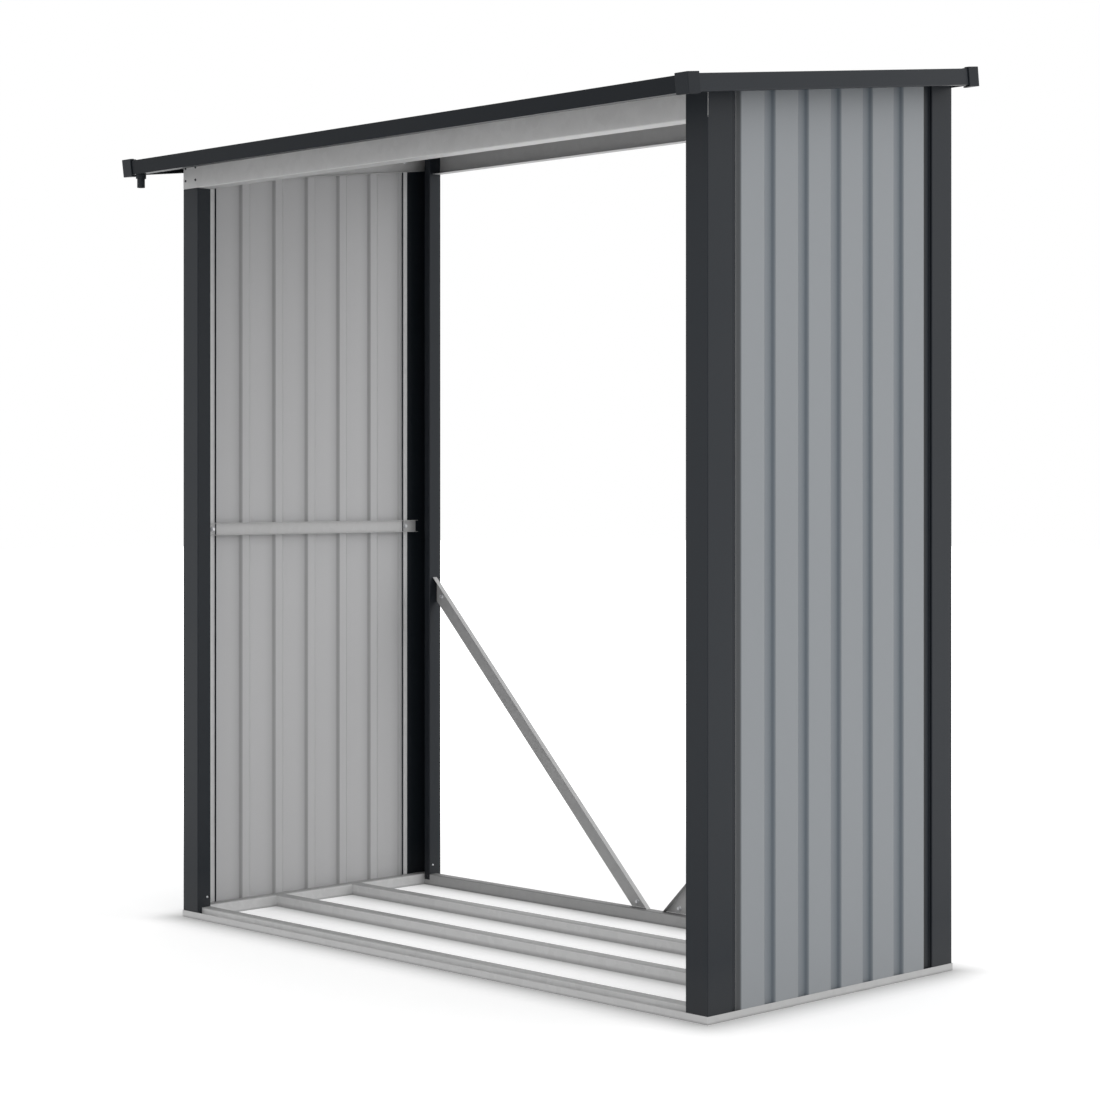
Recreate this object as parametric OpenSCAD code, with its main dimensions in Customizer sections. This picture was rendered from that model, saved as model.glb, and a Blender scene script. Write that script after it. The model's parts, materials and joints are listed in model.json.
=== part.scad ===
// Open-fronted log store in folded sheet steel: a stepped base frame, four folded corner
// posts, ribbed side walls, an open front and back with two braces, and a mono-pitch roof
// that falls to a gutter along the front.
// Left and right are as seen from the front. Lengths are in millimetres.

/* [Base] */
// Width of the base frame, outside to outside
base_w = 1750; // [1300:10:2600]
// Depth of the base frame, outside to outside
base_d = 805; // [640:5:1200]
// Width of a sill from its outer lip to its inner face
sill_w = 40; // [36:1:60]
// Height of the box part of a sill, and of the floor rails
sill_h = 29; // [22:1:45]
// Height of the sill's outer lip
lip_h = 17; // [10:1:20]
// Width of the channel between the lip and the box part of a sill
channel_w = 13.4; // [12:0.2:18]
// Width of a floor rail
floor_rail_w = 28; // [20:1:50]

/* [Sheet metal] */
// Thickness of the folded sheet
sheet = 0.8; // [0.6:0.1:1.2]
// Gap between the sill's lip and the posts and walls that stand behind it
post_gap = 0.4; // [0.3:0.1:2]
// Clearance where one piece sits close to another
seat_gap = 0.4; // [0.2:0.1:0.8]
// Inside radius of the folds
bend_r = 1.2; // [0.6:0.1:1.4]

/* [Corner posts] */
// Width of a post's face on the open front or back
post_front = 60; // [45:1:80]
// Width of a post's face on the side wall
post_side = 72; // [50:1:90]
// Width of the lip that is folded back inside the sill
post_lip = 20; // [10:1:28]
// How far that lip hangs down over the sill's inner face
lip_drop = 15; // [8:1:20]
// Width of the flange behind the edge of the wall panel
post_flange = 20; // [18:1:30]
// How far the flange's edge is turned up into the store
flange_hook = 4.6; // [3:0.2:8]

/* [Side walls] */
// Number of grooves in a wall panel, counting the two at its edges
groove_count = 7; // [5:1:9]
// Depth of a groove
groove_depth = 7; // [5:0.2:10]
// Width of a groove at its mouth
groove_mouth = 36; // [30:1:44]
// Width of a groove at its floor
groove_floor = 20; // [15:1:22]
// Distance from a post's side face to the middle of the groove at the wall's edge
edge_step = 11.6; // [10:0.2:14]
// Width of the foot along the wall's edge that lies on the post's flange
wall_foot = 4; // [3:0.5:6]
// Width of the upright strips on the posts' flanges
upright_w = 15; // [10:0.5:15]
// Thickness of the upright strips
upright_d = 1; // [0.8:0.1:2]
// Depth of the wall rails
wall_rail_d = 12; // [9:1:16]
// Height of the rail across the middle of a wall
mid_rail_h = 31; // [18:1:40]
// Height of that rail's centre above the ground
mid_rail_z = 960; // [700:1:1200]
// Distance of that rail's ends from the front and rear of the base
mid_rail_end = 47; // [42:1:70]
// Height of the rail along the top of a wall
top_rail_h = 53; // [35:1:70]

/* [Beams and braces] */
// Height of the front and rear beams
beam_h = 68; // [50:1:90]
// Width of the front beam's bottom flange
front_beam_flange = 40; // [25:1:55]
// Width of the rear beam's bottom flange
rear_beam_flange = 28; // [20:1:36]
// Width of the flange on top of a beam that carries the roof
beam_top_flange = 28; // [18:1:40]
// Height at which a brace's upper edge meets the rear post
brace_top_z = 823; // [600:1:1100]
// Distance of a brace's foot from the middle of the rear sill
brace_foot_x = 26; // [10:1:80]
// Width of a brace
brace_w = 45; // [30:1:60]
// Width of the flange along a brace's upper edge
brace_flange = 15; // [8:1:24]

/* [Roof] */
// Fall of the roof towards the front, in degrees
roof_pitch = 7.1; // [4:0.1:12]
// Height of the roof edge's underside above the front of the base
roof_z = 1847; // [1500:1:2200]
// Overhang past the sides of the base
side_overhang = 65; // [40:1:120]
// Overhang past the front of the base
front_overhang = 126; // [90:1:200]
// Height of the roof's edge trims
edge_h = 36; // [32:1:50]
// Width of an edge trim's top flange
edge_flange = 22; // [15:1:40]
// Width of a side trim's bottom hem
edge_hem = 14; // [8:1:20]
// Width of the gutter behind the front trim
gutter_w = 45; // [40:1:60]
// Width of the front trim's folded rim
gutter_rim = 7; // [5:1:10]
// Distance from the front trim to the edge of the roof sheets
sheet_reach = 28; // [20:1:34]
// Distance between the ribs of the roof sheets
rib_pitch = 106; // [80:1:130]
// Height of a rib
rib_h = 11.4; // [8:0.2:14]
// Width of a rib at its foot
rib_w = 37; // [30:1:44]
// Width of a rib's crest
crest_w = 17; // [15:1:22]
// Number of ribs from the roof's middle to each lap between sheets
lap_rib = 3; // [2:1:4]

/* [Corner caps and spout] */
// Length of a cap along each edge of the roof
cap_leg = 32; // [25:1:45]
// Width of a cap's arms across the trims
cap_arm = 9; // [6:1:20]
// Wall of a cap outside the trims
cap_wall = 3; // [2:0.5:4]
// How far a cap stands above and below the trims
cap_rise = 3.5; // [2:0.5:8]
// Distance of the spout from the left end of the roof
spout_from_end = 45; // [45:1:120]
// Distance of the spout's middle from the front trim
spout_in = 16; // [14:1:24]
// Outer diameter of the spout
spout_d = 19; // [15:0.5:24]
// Bore of the spout
spout_bore = 15; // [10:0.5:20]
// Diameter of the spout's collar
collar_d = 25; // [22:0.5:32]
// Height of the spout's collar
collar_h = 12; // [6:1:16]
// Length of the spout with its collar
spout_len = 34; // [20:1:60]

/* [Hidden] */
$fn = 48;
bend_steps = 3;

// Finishes
anthracite = [0.24, 0.25, 0.27];
blue_grey = [0.58, 0.60, 0.61];
galvanised = [0.70, 0.70, 0.70];
black_plastic = [0.16, 0.18, 0.20];

// Distances in from the outside of the base
half_w = base_w / 2;
post_face = sheet + post_gap;
post_inner = post_face + sheet;
groove_back = post_face + groove_depth;
riser = sheet + channel_w;
foot_z = sheet + bend_r;
post_end = post_face + post_front;
post_side_end = post_face + post_side;
edge_groove = post_side_end + edge_step;
flange_end = post_side_end + post_flange;
flange_face = groove_back + sheet;
rail_face = flange_face + upright_d;
hook_face = flange_face + flange_hook;
groove_pitch = (base_d - 2 * edge_groove) / (groove_count - 1);
floor_gap = (base_d - 2 * sill_w - 2 * floor_rail_w) / 3;

// The roof lies in a frame of its own: u runs up the slope from the front of the base, and
// v stands square to it, from the underside of the edge trims.
roof_half = half_w + side_overhang;
sheet_v = edge_h - 2 * sheet - rib_h;
crest_v = sheet_v + rib_h;
u_front = -front_overhang / cos(roof_pitch);
u_rear = u_at(base_d - post_face + seat_gap, sheet_v) + sheet;
lap_gap = seat_gap;
rib_half = rib_w / 2;
crest_half = crest_w / 2;
last_rib = floor((roof_half - rib_w) / rib_pitch);

// The whole part is centred front to back on its own outline
y_front = y_at(u_front - cap_wall, edge_h + cap_rise);
y_rear = max(base_d, y_at(u_rear + cap_wall, -cap_rise));
y_middle = (y_front + y_rear) / 2;

// Beams hang below the roof sheets
front_beam_top = z_at(post_inner, sheet_v);
front_beam_z = front_beam_top - beam_h;
rear_beam_top = z_at(base_d - post_inner, sheet_v);
brace_run = half_w - post_end - brace_foot_x;
brace_rise = brace_top_z - sill_h;
brace_angle = atan2(brace_rise, brace_run);
brace_len = norm([brace_run, brace_rise]);
tall = 2 * roof_z;

// Slope frame to the upright frame
function y_at(u, v) = u * cos(roof_pitch) - v * sin(roof_pitch);
function u_at(y, v) = (y + v * sin(roof_pitch)) / cos(roof_pitch);
function z_at(y, v) = roof_z + y * tan(roof_pitch) + v / cos(roof_pitch);

// A folded sheet: its outline from the line of one face, with the thickness on the right.
// Each fold is an arc, wider by the thickness where the line runs round the outside of it.
function heading(a, b) = (b - a) / norm(b - a);
function right_of(d) = [d[1], -d[0]];
function bent(p, before, after) =
    let (
        d = heading(before, p), e = heading(p, after),
        turn = atan2(d[0] * e[1] - d[1] * e[0], d * e),
        r = bend_r + (turn < 0 ? sheet : 0),
        start = p - r * tan(abs(turn) / 2) * d,
        centre = start - sign(turn) * r * right_of(d)
    )
    [for (i = [0 : bend_steps])
        let (a = turn * i / bend_steps, n = sign(turn) * r * right_of(d))
        centre + [n[0] * cos(a) - n[1] * sin(a), n[0] * sin(a) + n[1] * cos(a)]];
function bent_path(path) = concat(
    [path[0]],
    [for (i = [1 : len(path) - 2]) each bent(path[i], path[i - 1], path[i + 1])],
    [path[len(path) - 1]]
);
function fold(p, n, m) = p + sheet * (n + m) / (1 + n * m);
function other_face(path) = [
    for (i = [len(path) - 1 : -1 : 0])
        let (
            before = i > 0 ? right_of(heading(path[i - 1], path[i])) : undef,
            after = i < len(path) - 1 ? right_of(heading(path[i], path[i + 1])) : undef
        )
        fold(path[i], i > 0 ? before : after, i < len(path) - 1 ? after : before)
];
module folded(path) {
    line = bent_path(path);
    polygon(concat(line, other_face(line)));
}

// Placing
module set_down() {
    translate([0, -y_middle, 0]) children();
}
module on_side(right) {
    mirror([right ? 1 : 0, 0, 0]) translate([-half_w, 0, 0]) children();
}
module at_end(rear) {
    translate([0, rear ? base_d : 0, 0]) mirror([0, rear ? 1 : 0, 0]) children();
}
module along_x(from, to) {
    translate([from, 0, 0]) rotate([90, 0, 90]) linear_extrude(to - from) children();
}
module along_y(from, to) {
    translate([0, to, 0]) rotate([90, 0, 0]) linear_extrude(to - from) children();
}
module on_slope() {
    translate([0, 0, roof_z]) rotate([roof_pitch, 0, 0]) children();
}
module below_slope(v) {
    on_slope() translate([-base_w, -base_d, v - 2 * tall]) cube([2 * base_w, 3 * base_d, 2 * tall]);
}
module above_slope(v) {
    on_slope() translate([-base_w, -base_d, v]) cube([2 * base_w, 3 * base_d, tall]);
}

// Base frame
sill_section = [
    [sheet, lip_h], [sheet, sheet], [riser, sheet],
    [riser, sill_h], [sill_w, sill_h], [sill_w, 0]
];
module mitred_sill(length) {
    intersection() {
        along_x(0, length) folded(sill_section);
        linear_extrude(sill_h)
            polygon([[0, 0], [length, 0], [length - sill_w, sill_w], [sill_w, sill_w]]);
    }
}
module long_sill(rear) {
    color(galvanised) set_down() at_end(rear) on_side(false) mitred_sill(base_w);
}
module side_sill(right) {
    color(galvanised) set_down() on_side(right)
        translate([0, base_d, 0]) rotate([0, 0, -90]) mitred_sill(base_d);
}
module floor_rail(rear) {
    color(galvanised) set_down() at_end(rear) translate([0, sill_w + floor_gap, 0])
        along_x(sill_w - half_w, half_w - sill_w)
            folded([[0, 0], [0, sill_h], [floor_rail_w, sill_h], [floor_rail_w, 0]]);
}

// Corner posts, stood in the sills' channel
post_section = [
    [post_end - post_lip, sill_w + sheet], [post_end, sill_w + sheet], [post_end, post_face],
    [post_face, post_face], [post_face, post_side_end], [groove_back, post_side_end],
    [groove_back, flange_end], [hook_face, flange_end]
];
module sill_boxes() {
    translate([riser, riser, 0]) cube([base_w, sill_w - riser, sill_h]);
    translate([riser, riser, 0]) cube([sill_w - riser, base_d, sill_h]);
    translate([riser, riser, 0]) cube([base_w, sill_w + sheet - riser, sill_h - lip_drop]);
}
module beam_notch(covers_face) {
    notch_y = covers_face ? 0 : post_inner;
    translate([post_inner, notch_y, front_beam_z]) cube([post_end, sill_w + 2 * sheet - notch_y, tall]);
    translate([0, post_inner, front_beam_z]) cube([post_end, sheet + seat_gap, tall]);
}
module post(right, rear, beam_covers_face) {
    color(anthracite) set_down() on_side(right) difference() {
        intersection() {
            at_end(rear) difference() {
                translate([0, 0, foot_z]) linear_extrude(tall) folded(post_section);
                sill_boxes();
                if (!rear) beam_notch(beam_covers_face);
            }
            below_slope(sheet_v - seat_gap);
        }
        intersection() {
            at_end(rear) translate([rail_face - seat_gap, post_side_end, 0]) cube([sill_w, 2 * post_flange, tall]);
            above_slope(sheet_v - top_rail_h - seat_gap);
        }
    }
}

// Side walls
function groove(i) = edge_groove + i * groove_pitch;
wall_floor = groove_back - sheet;
wall_section = concat(
    [[wall_floor, edge_groove + groove_floor / 2 - wall_foot]],
    [for (i = [0 : groove_count - 1], p = [
        [post_face, -groove_mouth / 2], [wall_floor, -groove_floor / 2],
        [wall_floor, groove_floor / 2], [post_face, groove_mouth / 2]
    ])
        if (!(i == 0 && p[1] < 0) && !(i == groove_count - 1 && p[1] > 0))
            [p[0], groove(i) + p[1]]],
    [[wall_floor, base_d - edge_groove - groove_floor / 2 + wall_foot]]
);
module wall_panel(right) {
    color(blue_grey) set_down() on_side(right) intersection() {
        translate([0, 0, foot_z]) linear_extrude(tall) folded(wall_section);
        below_slope(sheet_v - seat_gap);
    }
}
module upright(right, rear) {
    hook_fold = bend_r + sheet;
    color(galvanised) set_down() on_side(right) intersection() {
        at_end(rear) translate([flange_face, flange_end - hook_fold - upright_w, foot_z])
            cube([upright_d, upright_w, tall]);
        below_slope(sheet_v - top_rail_h);
    }
}
function channel(low, high) = [[wall_rail_d, low], [0, low], [0, high], [wall_rail_d, high]];
module hook_slots() {
    for (rear = [false, true])
        at_end(rear) translate([0, flange_end - sheet - seat_gap, 0])
            cube([hook_face + seat_gap, sheet + 2 * seat_gap, tall]);
}
module mid_rail(right) {
    color(galvanised) set_down() on_side(right) difference() {
        translate([rail_face, 0, mid_rail_z - mid_rail_h / 2])
            along_y(mid_rail_end, base_d - mid_rail_end) folded(channel(0, mid_rail_h));
        hook_slots();
    }
}
module top_rail(right) {
    low = sheet_v - top_rail_h;
    start = u_at(post_inner + beam_top_flange, sheet_v) + seat_gap;
    end = u_at(base_d - post_inner - seat_gap, low);
    color(galvanised) set_down() on_side(right) on_slope() translate([rail_face, 0, 0])
        along_y(start, end) folded(channel(low, sheet_v));
}

// Beams and braces
module front_beam() {
    inner = post_inner + front_beam_flange;
    behind = post_inner + beam_top_flange;
    tab_z = front_beam_z + 2 * bend_r + sheet;
    color(galvanised) set_down() {
        along_x(post_inner - half_w, half_w - post_inner)
            folded([
                [inner, front_beam_z], [post_inner, front_beam_z],
                [post_inner, front_beam_top], [behind, z_at(behind, sheet_v)]
            ]);
        translate([post_face - half_w, post_inner, tab_z])
            cube([base_w - 2 * post_face, sheet, front_beam_top - 2 * bend_r - sheet - tab_z]);
    }
}
module rear_beam() {
    face = base_d - post_inner;
    bottom = rear_beam_top - beam_h;
    before = face - beam_top_flange;
    color(galvanised) set_down() along_x(post_end - half_w, half_w - post_end)
        folded([
            [before, z_at(before, sheet_v)], [face, rear_beam_top],
            [face, bottom], [face - rear_beam_flange, bottom]
        ]);
}
module brace(right) {
    back = base_d - riser;
    color(galvanised) set_down() on_side(right) intersection() {
        translate([post_end, 0, brace_top_z]) rotate([0, brace_angle, 0])
            along_x(-2 * brace_w, brace_len + 2 * brace_w)
                folded([[back - brace_flange, 0], [back, 0], [back, -brace_w]]);
        translate([post_end, 0, sill_h]) cube([base_w, base_d, tall]);
    }
}

// Roof sheets, the middle one lapped over the outer two
function rib(i, from = -rib_half, to = rib_half) = [
    for (p = [[-rib_half, sheet_v + sheet], [-crest_half, crest_v],
              [crest_half, crest_v], [rib_half, sheet_v + sheet]])
        if (p[0] >= from && p[0] <= to) [i * rib_pitch + p[0], p[1]]
];
module roof_sheet(section) {
    color(blue_grey) set_down() on_slope()
        along_y(u_front + sheet_reach, u_rear - sheet - seat_gap) folded(section);
}
module middle_roof_sheet() {
    roof_sheet(concat(
        rib(-lap_rib, from = -crest_half),
        [for (i = [1 - lap_rib : lap_rib - 1]) each rib(i)],
        rib(lap_rib, to = crest_half)
    ));
}
module outer_roof_sheet(right) {
    lap_x = lap_rib * rib_pitch;
    lap_v = crest_v - sheet - lap_gap;
    mirror([right ? 0 : 1, 0, 0]) roof_sheet(concat(
        [[lap_x - crest_half + 2 * sheet, lap_v], [lap_x + crest_half, lap_v],
         [lap_x + rib_half, sheet_v + sheet]],
        [for (i = [lap_rib + 1 : last_rib]) each rib(i)],
        [[roof_half - sheet - seat_gap, sheet_v + sheet]]
    ));
}

// Roof edges
module front_fascia() {
    rim_v = edge_h - sheet;
    color(anthracite) set_down() on_slope() along_x(sheet - roof_half, roof_half - sheet)
        folded([[u_front, sheet], [u_front, rim_v], [u_front + gutter_rim, rim_v]]);
}
module gutter_floor() {
    color(anthracite) set_down() difference() {
        on_slope() translate([sheet - roof_half, u_front + sheet, sheet])
            cube([2 * (roof_half - sheet), gutter_w - sheet, sheet]);
        at_spout() cylinder(d = spout_bore, h = 2 * spout_len, center = true);
    }
}
module rear_fascia() {
    rim_v = edge_h - sheet;
    color(anthracite) set_down() on_slope() along_x(sheet - roof_half, roof_half - sheet)
        folded([[u_rear - edge_flange, rim_v], [u_rear, rim_v], [u_rear, sheet]]);
}
module side_fascia(right) {
    color(anthracite) set_down() mirror([right ? 1 : 0, 0, 0]) on_slope()
        translate([-roof_half, 0, 0]) along_y(u_front, u_rear)
            folded([[edge_hem, 0], [0, 0], [0, edge_h], [edge_flange, edge_h]]);
}
module corner_cap(right, rear) {
    middle = (u_front + u_rear) / 2;
    half_u = (u_rear - u_front) / 2;
    color(black_plastic) set_down() on_slope() translate([0, middle, 0])
        mirror([right ? 1 : 0, 0, 0]) mirror([0, rear ? 1 : 0, 0])
            translate([-roof_half, -half_u, 0]) difference() {
                translate([-cap_wall, -cap_wall, -cap_rise]) linear_extrude(edge_h + 2 * cap_rise) union() {
                    square([cap_wall + cap_leg, cap_wall + cap_arm]);
                    square([cap_wall + cap_arm, cap_wall + cap_leg]);
                }
                cube([cap_leg + cap_wall, cap_leg + cap_wall, edge_h]);
            }
}
module at_spout() {
    spout_y = y_at(u_front + spout_in, sheet);
    translate([spout_from_end - roof_half, spout_y, z_at(spout_y, sheet)]) children();
}
module gutter_spout() {
    color(black_plastic) set_down() intersection() {
        at_spout() difference() {
            union() {
                translate([0, 0, -collar_h]) cylinder(d = collar_d, h = 2 * collar_h);
                translate([0, 0, -spout_len]) cylinder(d = spout_d, h = spout_len);
            }
            translate([0, 0, -2 * spout_len]) cylinder(d = spout_bore, h = 4 * spout_len);
        }
        below_slope(sheet);
    }
}

long_sill(false);  // front_sill
long_sill(true);  // rear_sill
side_sill(false);  // left_sill
side_sill(true);  // right_sill
floor_rail(false);  // front_floor_rail
floor_rail(true);  // rear_floor_rail
post(false, false, true);  // front_left_post
post(true, false, false);  // front_right_post
post(false, true, false);  // rear_left_post
post(true, true, false);  // rear_right_post
upright(false, false);  // left_front_upright
upright(false, true);  // left_rear_upright
upright(true, false);  // right_front_upright
upright(true, true);  // right_rear_upright
wall_panel(false);  // left_wall_panel
wall_panel(true);  // right_wall_panel
mid_rail(false);  // left_mid_rail
mid_rail(true);  // right_mid_rail
top_rail(false);  // left_top_rail
top_rail(true);  // right_top_rail
front_beam();
rear_beam();
brace(false);  // left_brace
brace(true);  // right_brace
outer_roof_sheet(false);  // left_roof_sheet
middle_roof_sheet();
outer_roof_sheet(true);  // right_roof_sheet
front_fascia();
gutter_floor();
rear_fascia();
side_fascia(false);  // left_fascia
side_fascia(true);  // right_fascia
corner_cap(false, false);  // front_left_cap
corner_cap(true, false);  // front_right_cap
corner_cap(false, true);  // rear_left_cap
corner_cap(true, true);  // rear_right_cap
gutter_spout();
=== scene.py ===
import json
import math

import bmesh
import bpy
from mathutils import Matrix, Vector
from mathutils.bvhtree import BVHTree


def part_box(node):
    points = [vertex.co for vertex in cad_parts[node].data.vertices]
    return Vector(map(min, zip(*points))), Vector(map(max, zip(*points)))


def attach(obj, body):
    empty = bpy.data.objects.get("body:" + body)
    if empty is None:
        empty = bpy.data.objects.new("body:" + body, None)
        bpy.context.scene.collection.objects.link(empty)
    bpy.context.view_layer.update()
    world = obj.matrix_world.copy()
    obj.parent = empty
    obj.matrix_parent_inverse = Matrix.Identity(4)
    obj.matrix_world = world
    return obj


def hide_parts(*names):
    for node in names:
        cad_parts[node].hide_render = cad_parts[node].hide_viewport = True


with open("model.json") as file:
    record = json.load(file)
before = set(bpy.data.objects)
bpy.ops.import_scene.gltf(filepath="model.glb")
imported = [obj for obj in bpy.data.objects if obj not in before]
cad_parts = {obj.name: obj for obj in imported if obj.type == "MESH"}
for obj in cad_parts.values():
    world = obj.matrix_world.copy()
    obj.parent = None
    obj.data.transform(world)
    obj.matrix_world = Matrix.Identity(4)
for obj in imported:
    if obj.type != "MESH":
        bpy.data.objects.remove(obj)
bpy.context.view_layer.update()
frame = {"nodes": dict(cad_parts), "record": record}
nodes = frame["nodes"]
record = frame["record"]
scene = bpy.context.scene
print("frame loaded:", len(nodes), "nodes")


# a wrapped socket: sums and products of wires add their own maths nodes
class Wire:
    def __init__(self, tree, socket):
        self.tree = tree
        self.socket = socket

    def add(self, kind, settings, sockets, out=0):
        node = self.tree.nodes.new(kind)
        for name, value in settings.items():
            setattr(node, name, value)
        for name, value in sockets.items():
            if isinstance(value, Wire):
                self.tree.links.new(value.socket, node.inputs[name])
            else:
                node.inputs[name].default_value = value
        return Wire(self.tree, node.outputs[out])

    def maths(self, operation, first, second=0):
        return self.add("ShaderNodeMath", {"operation": operation}, {0: first, 1: second})

    def __add__(self, other):
        return self.maths("ADD", self, other)

    def __radd__(self, other):
        return self.maths("ADD", other, self)

    def __sub__(self, other):
        return self.maths("SUBTRACT", self, other)

    def __rsub__(self, other):
        return self.maths("SUBTRACT", other, self)

    def __mul__(self, other):
        return self.maths("MULTIPLY", self, other)

    def __rmul__(self, other):
        return self.maths("MULTIPLY", other, self)

    def __truediv__(self, other):
        return self.maths("DIVIDE", self, other)

    def __rtruediv__(self, other):
        return self.maths("DIVIDE", other, self)

    def unsigned(self):
        return self.maths("ABSOLUTE", self)

    def above(self, limit):  # 1 over the limit, 0 elsewhere
        return self.maths("GREATER_THAN", self, limit)

    def below(self, limit):
        return self.maths("LESS_THAN", self, limit)

    def clamp(self):  # kept between 0 and 1
        return self.maths("MINIMUM", self.maths("MAXIMUM", self, 0), 1)

    def axis(self, letter):
        return self.add("ShaderNodeSeparateXYZ", {}, {"Vector": self}, letter)

    def noise(self, scale, detail, out="Fac"):
        return self.add("ShaderNodeTexNoise", {}, {"Vector": self, "Scale": scale, "Detail": detail}, out)

    def mixed(self, first, second):
        return self.add("ShaderNodeMix", {"data_type": "RGBA"}, {0: self, 6: first, 7: second}, 2)

    def bumps(self, depth, strength):
        return self.add("ShaderNodeBump", {}, {"Height": self, "Distance": depth, "Strength": strength})

    def into(self, shader, name):
        self.tree.links.new(self.socket, shader.inputs[name])


def linear(*screen):  # a screen colour, 0 to 255, as linear light
    shares = [level / 255 for level in screen]
    light = [share / 12.92 if share < 0.04045 else ((share + 0.055) / 1.055) ** 2.4 for share in shares]
    return tuple(light) + (1.0,)


def grey(level):
    return linear(level, level, level)


def shaded(colour, factor):
    return tuple(c * factor for c in colour[:3]) + (1.0,)


def spread(share, colour, amount):  # a colour that runs from a little darker to a little lighter
    return share.mixed(shaded(colour, 1 - amount), shaded(colour, 1 + amount))


def newMaterial(name):
    material = bpy.data.materials.new(name)
    material.use_nodes = True
    tree = material.node_tree
    shader = tree.nodes["Principled BSDF"]
    place = Wire(tree, tree.nodes.new("ShaderNodeTexCoord").outputs["Object"])
    return material, shader, place


black, white = (0.0, 0.0, 0.0, 1.0), (1.0, 1.0, 1.0, 1.0)
cloudDetail, grainDetail = 3.0, 1.0  # octaves of broad clouding and of fine grain
flankPeak = 4  # brings depth * (1 - depth) to 1 halfway down a groove's flank


# painted shade in the walls' grooves: darker groove floors and flanks, a shade gradient beside each groove,
# and dark strips in the corners beside the posts
def paintedGrooveShade(place, look, paint):
    low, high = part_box("right_wall_panel")
    face = high[0] - look["faceIn"]
    along = place.axis("Y") - (low[1] + high[1]) / 2
    depth = ((face - place.axis("X").unsigned()) / look["grooveDepth"]).clamp()
    flank = depth * (1 - depth) * flankPeak
    turns = along / look["pitch"] + 0.5
    phase = (turns.maths("FRACT", turns) - 0.5) * look["pitch"]  # distance from the nearest groove's middle
    # a painted shade gradient on one side of each groove
    shadeDrift = ((phase - look["driftStart"]) / look["driftLength"]).clamp()
    if look["driftDeep"]:
        shadeDrift = shadeDrift * shadeDrift * depth
    else:
        shadeDrift = shadeDrift * shadeDrift * (1 - depth) * phase.below(0)
    # painted dark strips beside the posts, darker beside the rear post
    edgeStart = (high[1] - low[1]) / 2 - look["edgeWidth"]
    edge = ((along.unsigned() - edgeStart) / look["edgeFade"]).clamp()
    grooves = depth * look["floorShade"] + flank * look["flankShade"] + shadeDrift * look["shadeDrift"]
    edges = edge * (look["edgeShade"] + along.above(0) * look["rearShade"])
    paint = (grooves * (1 - edge)).clamp().mixed(paint, look["shadeColour"])
    return edges.mixed(paint, black)


# coil-coated sheet: an even colour with faint clouding, a fine orange peel and a little dust near the ground
def coatedSheet(name, look):
    material, shader, place = newMaterial(name)
    clouds = place.noise(look["cloudScale"], cloudDetail)
    peel = place.noise(look["peelScale"], grainDetail)
    dust = (1 - place.axis("Z") / look["dustHeight"]).clamp() * look["dust"] * clouds
    paint = spread(clouds, look["colour"], look["clouding"])
    # on the walls, painted shade in the grooves and beside the posts
    if "grooveDepth" in look:
        paint = paintedGrooveShade(place, look, paint)
    dust.mixed(paint, look["dustColour"]).into(shader, "Base Color")
    satin = look["roughness"] + (clouds - 0.5) * look["roughnessRange"]
    (satin + dust * look["dustRoughness"]).into(shader, "Roughness")
    peel.bumps(look["peelDepth"], look["peelStrength"]).into(shader, "Normal")
    shader.inputs["IOR"].default_value = look["ior"]
    return material


anthraciteLook = {
    "colour": linear(30, 35, 41), "clouding": 0.06, "cloudScale": 6.0,
    "peelScale": 700.0, "peelDepth": 0.0004, "peelStrength": 0.12,
    "roughness": 0.45, "roughnessRange": 0.10, "ior": 1.33,
    "dust": 0.10, "dustHeight": 0.12, "dustColour": linear(150, 146, 140), "dustRoughness": 0.4}
# a darker copy of the anthracite paint, as painted shade on the front fascia
shadedFasciaLook = {**anthraciteLook, "colour": linear(24, 28, 33), "ior": 1.22}
blueGreyLook = {
    **anthraciteLook, "colour": linear(151, 155, 159), "clouding": 0.02, "cloudScale": 5.0,
    "peelDepth": 0.0003, "peelStrength": 0.10, "roughness": 0.50, "roughnessRange": 0.08, "ior": 1.42,
    "dustHeight": 0.10}
backCoatLook = {
    **blueGreyLook, "colour": linear(205, 205, 206), "cloudScale": 4.0, "peelScale": 500.0,
    "peelStrength": 0.08, "roughness": 0.55, "ior": 1.40, "dust": 0.08}
# the walls' looks carry painted shade in the grooves and beside the posts, tinted blue outside and black
# inside
wallLook = {
    **blueGreyLook, "grooveDepth": 0.0062, "faceIn": 0.0, "pitch": 0.1059,
    "shadeColour": (0.0, 0.03, 0.06, 1.0), "floorShade": 0.20, "flankShade": 0.28,
    "edgeWidth": 0.012, "edgeFade": 0.003, "edgeShade": 0.72, "rearShade": 0.23,
    "shadeDrift": 0.3, "driftStart": -0.018, "driftLength": 0.026, "driftDeep": True}
wallBackLook = {
    **wallLook, **backCoatLook, "faceIn": 0.0008,
    "shadeColour": black, "floorShade": 0.0, "flankShade": 0.22, "edgeShade": 0.15, "rearShade": 0.0,
    "shadeDrift": 0.2, "driftStart": -0.05, "driftLength": 0.036, "driftDeep": False}

anthracitePaint = coatedSheet("anthracitePaint", anthraciteLook)
shadedFasciaPaint = coatedSheet("shadedFasciaPaint", shadedFasciaLook)
blueGreyPaint = coatedSheet("blueGreyPaint", blueGreyLook)
backCoat = coatedSheet("backCoat", backCoatLook)
wallShadedPaint = coatedSheet("wallShadedPaint", wallLook)
wallShadedBackCoat = coatedSheet("wallShadedBackCoat", wallBackLook)


# painted shade on the base's sheets, darker at the foot and along the top edge: each band has its height, how
# far its shade reaches and how dark it is
def paintedEdgeShade(place, shadeBands):
    unshaded = 1.0
    for height, reach, darkness in shadeBands:
        near = (1 - (place.axis("Z") - height).unsigned() / reach).clamp()
        unshaded = unshaded - near * darkness
    return unshaded


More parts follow.
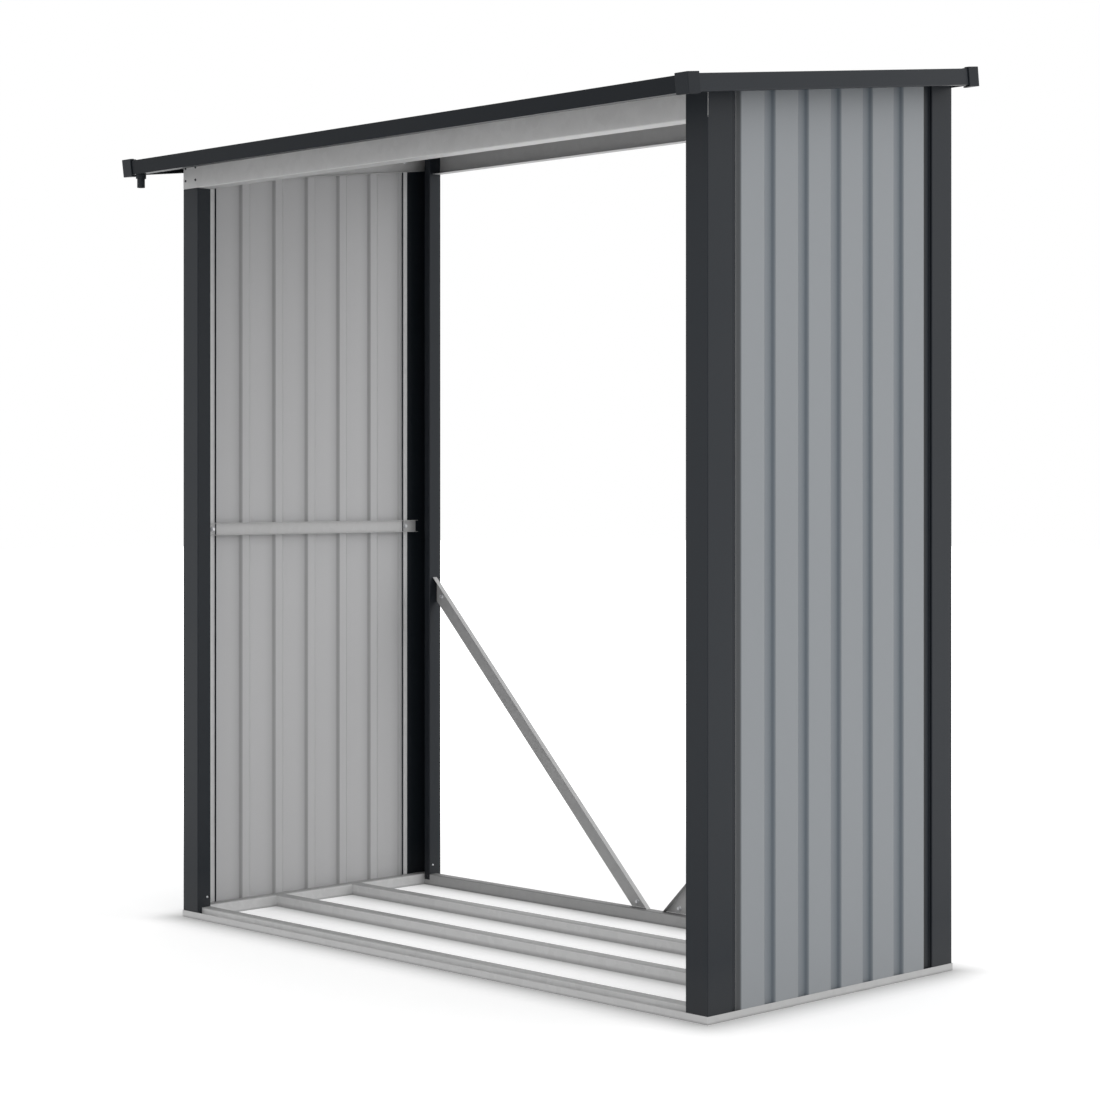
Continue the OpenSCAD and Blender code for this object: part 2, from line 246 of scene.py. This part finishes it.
# hot-dip zinc: dull, with faint crystal flowers and fine grain
def zincSheet(name, look):
    material, shader, place = newMaterial(name)
    wander = place.noise(look["flowerScale"], grainDetail, "Color")
    warp = place.add("ShaderNodeVectorMath", {"operation": "MULTIPLY_ADD"}, {
        0: wander, 1: (look["warp"],) * 3, 2: place})
    flowers = warp.add("ShaderNodeTexVoronoi", {}, {"Vector": warp, "Scale": look["flowerScale"]}, "Color")
    flower = flowers.add("ShaderNodeSeparateColor", {}, {"Color": flowers}, "Red")
    clouds = place.noise(look["cloudScale"], cloudDetail)
    grain = place.noise(look["grainScale"], grainDetail)
    tone = flower * look["flowerShare"] + clouds * (1 - look["flowerShare"])
    zinc = spread(tone, look["colour"], look["range"])
    # painted shade at the foot and along the top edge of the base's sheets
    if "shadeBands" in look:
        zinc = paintedEdgeShade(place, look["shadeBands"]).mixed(black, zinc)
    zinc.into(shader, "Base Color")
    (look["roughness"] + (flower - 0.5) * look["roughnessRange"]).into(shader, "Roughness")
    relief = grain * look["grainShare"] + flower * (1 - look["grainShare"])
    relief.bumps(look["grainDepth"], look["grainStrength"]).into(shader, "Normal")
    shader.inputs["Metallic"].default_value = look["metallic"]
    return material


zincLook = {
    "colour": grey(206), "range": 0.05, "cloudScale": 9.0,
    "flowerScale": 60.0, "warp": 0.008, "flowerShare": 0.6,
    "grainScale": 900.0, "grainDepth": 0.0003, "grainStrength": 0.04, "grainShare": 0.6,
    "roughness": 0.5, "roughnessRange": 0.12, "metallic": 0.3}
dullLook = {**zincLook, "metallic": 0.1}
# painted shade bands: darker towards the foot and along the top edge
railShadeBands = [(0.0, 0.012, 0.45), (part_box("front_floor_rail")[1][2], 0.003, 0.55)]
sillShadeBands = [(0.0, 0.006, 0.4), (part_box("front_sill")[1][2], 0.003, 0.55)]
screwLook = {
    **zincLook, "colour": linear(222, 223, 226), "flowerScale": 400.0, "warp": 0.001, "cloudScale": 60.0,
    "grainScale": 1500.0, "grainDepth": 0.0002, "grainStrength": 0.08,
    "roughness": 0.34, "roughnessRange": 0.10, "metallic": 0.4}
darkScrewLook = {**screwLook, "colour": linear(48, 50, 54), "range": 0.06, "roughness": 0.38, "metallic": 0.5}

galvanisedSteel = zincSheet("galvanisedSteel", zincLook)
# lighter and darker copies of the one zinc as painted light and shade: uprights, floor rails and the front
# and left sills lighter; right and rear sills, mid rails, braces and rear beam darker
uprightLitZinc = zincSheet("uprightLitZinc", {**dullLook, "colour": grey(228)})
braceShadedZinc = zincSheet("braceShadedZinc", {**dullLook, "colour": grey(186)})
railLitAndShadedZinc = zincSheet("railLitAndShadedZinc", {**dullLook, "colour": grey(228), "shadeBands": railShadeBands})
sillLitAndShadedZinc = zincSheet("sillLitAndShadedZinc", {**dullLook, "colour": grey(222), "shadeBands": sillShadeBands})
rightSillShadedZinc = zincSheet("rightSillShadedZinc", {**dullLook, "colour": grey(199), "shadeBands": sillShadeBands})
rearSillShadedZinc = zincSheet("rearSillShadedZinc", {**dullLook, "colour": grey(180), "shadeBands": sillShadeBands})
midRailShadedZinc = zincSheet("midRailShadedZinc", {**zincLook, "colour": grey(196)})
screwSteel = zincSheet("screwSteel", screwLook)
darkSteel = zincSheet("darkSteel", darkScrewLook)


# moulded plastic with a fine spark-eroded grain
def mouldedPlastic(name, look):
    material, shader, place = newMaterial(name)
    grain = place.noise(look["grainScale"], look["detail"])
    clouds = place.noise(look["cloudScale"], look["detail"])
    spread(clouds, look["colour"], look["clouding"]).into(shader, "Base Color")
    (look["roughness"] + (grain - 0.5) * look["roughnessRange"]).into(shader, "Roughness")
    grain.bumps(look["grainDepth"], look["grainStrength"]).into(shader, "Normal")
    shader.inputs["IOR"].default_value = look["ior"]
    return material


plasticLook = {
    "colour": linear(22, 27, 33), "clouding": 0.1, "cloudScale": 20.0, "detail": 2.0,
    "grainScale": 1400.0, "grainDepth": 0.0003, "grainStrength": 0.25,
    "roughness": 0.55, "roughnessRange": 0.2, "ior": 1.34}
blackPlastic = mouldedPlastic("blackPlastic", plasticLook)
print("finishes made:", len(bpy.data.materials))

# finishes by the record's slots, and for pieces with a finish of their own by the end of their name; most own
# finishes are lighter or darker copies of the zinc or the anthracite as painted light and shade, and the wall
# panels' finishes carry painted shade in their grooves
slotFinish = {
    "anthracite_paint": [anthracitePaint],
    "blue_grey_paint": [blueGreyPaint, backCoat],
    "galvanised_steel": [galvanisedSteel],
    "black_plastic": [blackPlastic],
}
ownFinish = {
    "_wall_panel": [wallShadedPaint, wallShadedBackCoat],
    "front_sill": [sillLitAndShadedZinc],
    "left_sill": [sillLitAndShadedZinc],
    "right_sill": [rightSillShadedZinc],
    "rear_sill": [rearSillShadedZinc],
    "_floor_rail": [railLitAndShadedZinc],
    "_upright": [uprightLitZinc],
    "_mid_rail": [midRailShadedZinc],
    "_brace": [braceShadedZinc],
    "rear_beam": [braceShadedZinc],
    "front_fascia": [shadedFasciaPaint],
}
facingLimit = 0.02  # a face that leans outward by less than this takes the back coat


def outward(name, normal):
    if "wall" in name:
        side = -1 if name.startswith("left") else 1
        return normal.x * side > facingLimit
    return normal.z > facingLimit


for part in record["subparts"]:
    name = part["node"]
    own = [finish for ending, finish in ownFinish.items() if name.endswith(ending)]
    finish = own[0] if own else slotFinish[part["material_slot"]]
    mesh = nodes[name].data
    mesh.materials.clear()
    for material in finish:
        mesh.materials.append(material)
    twoSided = len(finish) == 2  # paint outside, back coat towards the logs
    for face in mesh.polygons:
        face.material_index = 1 if twoSided and not outward(name, face.normal) else 0
print("finishes set on", len(record["subparts"]), "nodes")


# corner caps: the same shells with the soft edges of a moulding
capLook = {"radius": 0.0012, "segments": 3, "profile": 0.5,
           "sharp": math.radians(30), "flat": math.radians(1), "merge": 0.00001}


def mouldedCap(node):
    mesh = bpy.data.meshes.new(node + "_moulding")
    shell = bmesh.new()
    shell.from_mesh(nodes[node].data)
    bmesh.ops.remove_doubles(shell, verts=shell.verts, dist=capLook["merge"])
    bmesh.ops.dissolve_limit(shell, angle_limit=capLook["flat"], verts=shell.verts, edges=shell.edges)
    sharp = [edge for edge in shell.edges if edge.calc_face_angle(0) > capLook["sharp"]]
    bmesh.ops.bevel(shell, geom=sharp, offset=capLook["radius"], segments=capLook["segments"],
                    profile=capLook["profile"], affect="EDGES", clamp_overlap=True)
    shell.to_mesh(mesh)
    shell.free()
    mesh.materials.clear()
    mesh.materials.append(blackPlastic)
    cap = bpy.data.objects.new(mesh.name, mesh)
    scene.collection.objects.link(cap)
    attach(cap, "root")
    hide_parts(node)


capNodes = [name for name in nodes if name.endswith("_cap")]
for capNode in capNodes:
    mouldedCap(capNode)
print("caps moulded:", len(capNodes))


# screws: a flanged hexagon head on every point, turned to the point's own facing
screwShape = {"cornerOverFlats": 0.577, "headTaper": 0.9, "headSides": 6,
              "flangeTaper": 0.82, "flangeSides": 20}


def screwTree():
    tree = bpy.data.node_groups.new("screwTree", "GeometryNodeTree")
    face = tree.interface
    face.new_socket("Points", in_out="INPUT", socket_type="NodeSocketGeometry")
    for name in ("Head width", "Head height", "Flange width", "Flange height"):
        face.new_socket(name, in_out="INPUT", socket_type="NodeSocketFloat")
    face.new_socket("Finish", in_out="INPUT", socket_type="NodeSocketMaterial")
    face.new_socket("Screws", in_out="OUTPUT", socket_type="NodeSocketGeometry")
    group = tree.nodes.new("NodeGroupInput")
    given = {socket.name: Wire(tree, socket) for socket in group.outputs if socket.name}
    points, flangeHeight = given["Points"], given["Flange height"]
    headRadius = given["Head width"] * screwShape["cornerOverFlats"]
    flangeRadius = given["Flange width"] * 0.5
    flange = points.add("GeometryNodeMeshCone", {}, {
        "Vertices": screwShape["flangeSides"], "Radius Top": flangeRadius * screwShape["flangeTaper"],
        "Radius Bottom": flangeRadius, "Depth": flangeHeight})
    head = points.add("GeometryNodeMeshCone", {}, {
        "Vertices": screwShape["headSides"], "Radius Top": headRadius * screwShape["headTaper"],
        "Radius Bottom": headRadius, "Depth": given["Head height"] + flangeHeight})
    screw = flange.add("GeometryNodeJoinGeometry", {}, {"Geometry": flange})
    head.into(screw.socket.node, "Geometry")
    facing = points.add("GeometryNodeInputNamedAttribute", {"data_type": "FLOAT_VECTOR"}, {"Name": "facing"})
    turn = facing.add("FunctionNodeAlignRotationToVector", {"axis": "Z"}, {"Vector": facing})
    placed = points.add("GeometryNodeInstanceOnPoints", {}, {
        "Points": points, "Instance": screw, "Rotation": turn})
    solid = placed.add("GeometryNodeRealizeInstances", {}, {"Geometry": placed})
    done = solid.add("GeometryNodeSetMaterial", {}, {"Geometry": solid, "Material": given["Finish"]})
    done.into(tree.nodes.new("NodeGroupOutput"), "Screws")
    return tree


screws = screwTree()


def makeScrews(name, places, look, finish):
    mesh = bpy.data.meshes.new(name + "Points")
    mesh.from_pydata([place for place, normal in places], [], [])
    facing = mesh.attributes.new("facing", "FLOAT_VECTOR", "POINT")
    for entry, (place, normal) in zip(facing.data, places):
        entry.vector = normal
    points = bpy.data.objects.new(name + "Points", mesh)
    scene.collection.objects.link(points)
    modifier = points.modifiers.new("screws", "NODES")
    modifier.node_group = screws
    sizes = {"Head width": look["head"], "Head height": look["headHeight"], "Flange width": look["flange"],
             "Flange height": look["flangeHeight"], "Finish": finish}
    for socket in screws.interface.items_tree:
        if socket.in_out == "INPUT" and socket.name in sizes:
            modifier[socket.identifier] = sizes[socket.name]
    depsgraph = bpy.context.evaluated_depsgraph_get()
    finished = bpy.data.meshes.new_from_object(points.evaluated_get(depsgraph), depsgraph=depsgraph)
    bpy.data.objects.remove(points)
    piece = bpy.data.objects.new(name, finished)
    finished.name = name
    scene.collection.objects.link(piece)
    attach(piece, "root")
    print(name, "placed:", len(places))


def landed(node, start, direction):  # where a line first meets a piece, and how the piece faces there
    mesh = nodes[node].data
    skin = BVHTree.FromPolygons([v.co for v in mesh.vertices], [p.vertices for p in mesh.polygons])
    place, normal = skin.ray_cast(Vector(start), Vector(direction))[:2]
    return place, normal


def corners(node):
    low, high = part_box(node)
    return Vector(low), Vector(high)


def middle(node):
    low, high = corners(node)
    return (low + high) / 2


sides, ends = ("left", "right"), ("front", "rear")
inward = {"left": Vector((1, 0, 0)), "right": Vector((-1, 0, 0)),
          "front": Vector((0, 1, 0)), "rear": Vector((0, -1, 0))}
stepBack = 0.05  # how far off a piece the line starts that finds a screw's seat

# frame screws: where the walls' rails cross the uprights, and at both ends of the braces
frameScrewLook = {"head": 0.008, "headHeight": 0.0042, "flange": 0.0125, "flangeHeight": 0.0012,
                  "braceEnd": 0.05, "braceFoot": 0.04, "braceMiddle": 0.0225, "railMiddle": 0.026}


def railPlaces(side, look):
    places = []
    for end in ends:
        upright = f"{side}_{end}_upright"
        y, top = middle(upright).y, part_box(upright)[1][2]
        heights = {"mid": middle(f"{side}_mid_rail").z, "top": top + look["railMiddle"]}
        for level, z in heights.items():
            rail = f"{side}_{level}_rail"
            start = Vector((middle(rail).x, y, z)) + inward[side] * stepBack
            places.append(landed(rail, start, -inward[side]))
    return places


def bracePlaces(side, look):
    brace = f"{side}_brace"
    low, high = corners(brace)
    post, foot = (low.x, high.x) if side == "left" else (high.x, low.x)
    along = Vector((foot - post, 0, low.z - high.z)).normalized()
    across = Vector((along.z, 0, -along.x)) * inward[side].x
    upper = Vector((post, 0, high.z)) + along * look["braceEnd"]
    lower = Vector((foot, 0, low.z)) - along * look["braceFoot"]
    aside = across * look["braceMiddle"] + Vector((0, low.y - stepBack, 0))
    return [landed(brace, place + aside, inward["front"]) for place in (upper, lower)]


framePlaces = [place for side in sides for places in (railPlaces, bracePlaces)
               for place in places(side, frameScrewLook)]
makeScrews("frameScrews", framePlaces, frameScrewLook, screwSteel)

# posts: a small bright screw through each inner return, and a dark bolt through each foot
postScrewLook = {"head": 0.0036, "headHeight": 0.0015, "flange": 0.0055, "flangeHeight": 0.001,
                 "fromFront": 0.0297, "height": 0.053}
footBoltLook = {"head": 0.007, "headHeight": 0.0035, "flange": 0.0105, "flangeHeight": 0.0012,
                "height": 0.022, "in": 0.012, "stepBack": 0.1}


def returnPlace(side, end, look):
    post = f"{end}_{side}_post"
    low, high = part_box(post)
    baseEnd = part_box("front_sill")[0][1] if end == "front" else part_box("rear_sill")[1][1]
    inner = high[0] if side == "left" else low[0]
    start = Vector((inner, baseEnd + inward[end].y * look["fromFront"], look["height"]))
    return landed(post, start + inward[side] * stepBack, -inward[side])


def footPlace(side, end, look):
    post = f"{end}_{side}_post"
    low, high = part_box(post)
    inner = high[0] if side == "left" else low[0]
    start = Vector((inner, middle(post).y, look["height"])) - inward[side] * look["in"]
    return landed(post, start + inward[end] * look["stepBack"], -inward[end])


returnPlaces = [returnPlace(side, end, postScrewLook) for side in sides for end in ends]
footPlaces = [footPlace(side, end, footBoltLook) for side in sides for end in ends]
makeScrews("postScrews", returnPlaces, postScrewLook, screwSteel)
makeScrews("tabBolts", footPlaces, footBoltLook, darkSteel)

# four rivets through the front beam's left end
beamRivetLook = {"head": 0.0036, "headHeight": 0.0012, "flange": 0.0066, "flangeHeight": 0.001,
                 "fromEnd": (0.0087, 0.0493), "up": (0.0205, 0.0515)}


def rivetPlaces(look):
    low = corners("front_beam")[0]
    starts = [low + Vector((x, -stepBack, z)) for x in look["fromEnd"] for z in look["up"]]
    return [landed("front_beam", start, inward["front"]) for start in starts]


makeScrews("beamRivets", rivetPlaces(beamRivetLook), beamRivetLook, darkSteel)

# roof screws: a row over each beam, one screw in every trough between the ribs
roofScrewLook = {"head": 0.008, "headHeight": 0.005, "flange": 0.016, "flangeHeight": 0.0022,
                 "stepBack": 0.3, "pitch": 0.106, "frontIn": 0.016, "rearIn": 0.034}


def roofPlaces(look):
    places = []
    pitch = look["pitch"]
    beams = [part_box("front_beam")[0][1] + look["frontIn"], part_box("rear_beam")[1][1] - look["rearIn"]]
    for sheet in ("left_roof_sheet", "middle_roof_sheet", "right_roof_sheet"):
        low, high = corners(sheet)
        first, last = math.ceil(low.x / pitch - 0.5), math.floor(high.x / pitch - 0.5)
        for trough in range(first, last + 1):
            for y in beams:
                start = ((trough + 0.5) * pitch, y, high.z + look["stepBack"])
                place, normal = landed(sheet, start, (0, 0, -1))
                if place:
                    places.append((place, normal))
    return places


makeScrews("roofScrews", roofPlaces(roofScrewLook), roofScrewLook, blueGreyPaint)

# studio: a white floor that keeps the store's soft shadow, and a sky that is brighter above, right and behind
floorLook = {"size": 60.0, "seen": (0.92, 0.92, 0.92, 1.0), "bounce": (0.55, 0.55, 0.55, 1.0),
             "whiteShare": 0.25, "whiteStrength": 1.6, "fadeStart": 1.6, "fadeLength": 1.2,
             "contactReach": 0.13, "contactShade": 0.5, "railReach": 0.1, "railShade": 0.42}
skyLook = {"strength": 0.75, "lean": (0.12, 0.37, 0.46)}


def seenWhite(tree):  # 1 for what the camera, reflections and clear things see
    path = tree.nodes.new("ShaderNodeLightPath")
    rays = ("Is Camera Ray", "Is Glossy Ray", "Is Transmission Ray")
    camera, glossy, through = (Wire(tree, path.outputs[ray]) for ray in rays)
    return (camera + glossy + through).clamp()


def mixShaders(tree, share, first, second):
    mix = tree.nodes.new("ShaderNodeMixShader")
    share.into(mix, "Fac")
    tree.links.new(first.outputs[0], mix.inputs[1])
    tree.links.new(second.outputs[0], mix.inputs[2])
    return mix


def glow(tree, strength):
    light = tree.nodes.new("ShaderNodeEmission")
    light.inputs["Strength"].default_value = strength
    return light


def contactShadow(place):  # deepens the soft shadow round the base and in front of its rails
    low, high = corners("left_sill")[0], corners("right_sill")[1]
    centre, half = (low + high) / 2, (high - low) / 2
    x = (place.axis("X") - centre.x).unsigned() - half.x
    y = (place.axis("Y") - centre.y).unsigned() - half.y
    x, y = (away.maths("MAXIMUM", away, 0) for away in (x, y))
    squared = x * x + y * y
    outside = squared.above(0)
    near = (1 - squared.maths("SQRT", squared) / floorLook["contactReach"]).clamp()
    outer = near * near * outside * floorLook["contactShade"]
    inner = 0.0
    for rail in ("front_floor_rail", "rear_floor_rail", "rear_sill"):
        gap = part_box(rail)[0][1] - place.axis("Y")
        near = (1 - gap / floorLook["railReach"]).clamp()
        inner = inner + near * near * gap.above(0) * floorLook["railShade"]
    return outer + inner * (1 - outside)


def floorPaper():
    material = bpy.data.materials.new("floorPaper")
    material.use_nodes = True
    tree = material.node_tree
    tree.nodes.clear()
    place = Wire(tree, tree.nodes.new("ShaderNodeTexCoord").outputs["Object"])
    seen = seenWhite(tree)
    paper = tree.nodes.new("ShaderNodeBsdfDiffuse")
    seen.mixed(floorLook["bounce"], floorLook["seen"]).into(paper, "Color")
    reach = place.add("ShaderNodeVectorMath", {"operation": "LENGTH"}, {0: place}, "Value")
    fade = ((reach - floorLook["fadeStart"]) / floorLook["fadeLength"]).clamp()  # plain white further out
    share = floorLook["whiteShare"] + (1 - floorLook["whiteShare"]) * fade
    lit = mixShaders(tree, seen * share, paper, glow(tree, floorLook["whiteStrength"]))
    shadowed = mixShaders(tree, seen * contactShadow(place), lit, glow(tree, 0))
    out = tree.nodes.new("ShaderNodeOutputMaterial")
    tree.links.new(shadowed.outputs[0], out.inputs["Surface"])
    return material


def makeFloor():
    mesh = bpy.data.meshes.new("studioFloor")
    half = floorLook["size"] / 2
    rim = [(-half, -half, 0), (half, -half, 0), (half, half, 0), (-half, half, 0)]
    mesh.from_pydata(rim, [], [range(len(rim))])
    mesh.materials.append(floorPaper())
    floor = bpy.data.objects.new("studioFloor", mesh)
    scene.collection.objects.link(floor)


def makeWorld():
    world = bpy.data.worlds.new("studioWorld")
    scene.world = world
    world.use_nodes = True
    tree = world.node_tree
    tree.nodes.clear()
    sky, backdrop = (tree.nodes.new("ShaderNodeBackground") for layer in range(2))
    for layer in (sky, backdrop):
        layer.inputs["Color"].default_value = white
    toward = Wire(tree, tree.nodes.new("ShaderNodeTexCoord").outputs["Generated"])
    strength = skyLook["strength"]
    for letter, share in zip("XYZ", skyLook["lean"]):
        strength = strength + toward.axis(letter) * share
    strength.into(sky, "Strength")
    out = tree.nodes.new("ShaderNodeOutputWorld")
    tree.links.new(mixShaders(tree, seenWhite(tree), sky, backdrop).outputs[0], out.inputs["Surface"])


lamps = {
    "rightSoftbox": {"size": (5.0, 4.0), "power": 20.0, "place": (5.5, 4.5, 3.0), "aim": (0, 0.1, 0.9)},
    "topSoftbox": {"size": (5.0, 5.0), "power": 40.0, "place": (0.5, 0.5, 6.0), "aim": (0, 0, 0.5)},
}


def makeLamp(name, look):
    light = bpy.data.lights.new(name, "AREA")
    light.shape = "RECTANGLE"
    light.size, light.size_y = look["size"]
    light.energy = look["power"]
    lamp = bpy.data.objects.new(name, light)
    lamp.location = look["place"]
    beam = Vector(look["aim"]) - Vector(look["place"])
    lamp.rotation_euler = beam.to_track_quat("-Z", "Y").to_euler()
    scene.collection.objects.link(lamp)


# the camera stands level, so that uprights stay upright, and its shift frames the store
view = {"place": (4.2247, -4.0530, 1.0797), "tilt": 90, "turn": 45.63, "lens": 82.4, "sensor": 36.0,
        "shiftY": -0.0625, "clipEnd": 100}


def makeCamera():
    lens = bpy.data.cameras.new("photoCamera")
    lens.sensor_fit = "HORIZONTAL"
    lens.sensor_width = view["sensor"]
    lens.lens = view["lens"]
    lens.shift_y = view["shiftY"]
    lens.clip_end = view["clipEnd"]
    camera = bpy.data.objects.new("photoCamera", lens)
    camera.location = view["place"]
    camera.rotation_euler = (math.radians(view["tilt"]), 0, math.radians(view["turn"]))
    scene.collection.objects.link(camera)
    scene.camera = camera


makeFloor()
makeWorld()
for lampName, lampLook in lamps.items():
    makeLamp(lampName, lampLook)
makeCamera()
scene.view_settings.view_transform = "Standard"
print("studio ready")
